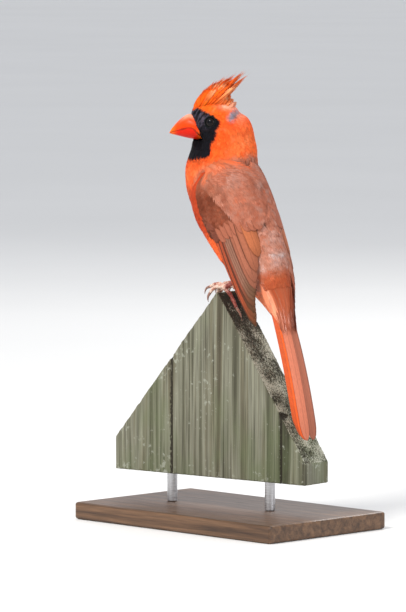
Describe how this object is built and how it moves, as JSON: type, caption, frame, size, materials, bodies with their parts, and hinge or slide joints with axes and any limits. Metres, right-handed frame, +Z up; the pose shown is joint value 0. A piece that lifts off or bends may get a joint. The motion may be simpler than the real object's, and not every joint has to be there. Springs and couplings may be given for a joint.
{
  "type": "male northern cardinal on a picket perch",
  "caption": "Life-size male northern cardinal with raised crest, gripping the pointed top of a weathered fence picket on a plain display stand.",
  "frame": {"origin": "centre of the stand's underside, straight below the picket's point", "axes": "+Z up, the bird's body faces -Y and its left side is +X, the head is turned 35 degrees to the left"},
  "size_m": [0.096, 0.16, 0.2626],
  "materials": {
    "scarlet_feather": "soft scarlet feathers of the head, neck and thighs",
    "brick_feather": "dusky red feathers of the back, wings and tail",
    "coral_bill": "smooth orange-red horn",
    "dark_eye": "wet, very dark brown",
    "scaly_skin": "pinkish scaled skin of the feet",
    "horn_claw": "dark horn",
    "weathered_wood": "grey, grooved and weathered",
    "oiled_wood": "smooth and oiled",
    "brushed_steel": "brushed"
  },
  "bodies": {
    "root": {"torso": "brick_feather", "neck": "scarlet_feather", "head": "scarlet_feather", "bill_upper": "coral_bill", "bill_lower": "coral_bill", "eye_left": "dark_eye", "eye_right": "dark_eye", "wing_left": "brick_feather", "wing_right": "brick_feather", "tail": "brick_feather", "thigh_left": "scarlet_feather", "thigh_right": "scarlet_feather", "foot_left": "scaly_skin", "foot_right": "scaly_skin", "claw_left_middle": "horn_claw", "claw_left_inner": "horn_claw", "claw_left_outer": "horn_claw", "claw_left_hind": "horn_claw", "claw_right_middle": "horn_claw", "claw_right_inner": "horn_claw", "claw_right_outer": "horn_claw", "claw_right_hind": "horn_claw", "perch_picket": "weathered_wood", "stand_base": "oiled_wood", "stand_rod_front": "brushed_steel", "stand_rod_rear": "brushed_steel"}
  },
  "joints": []
}
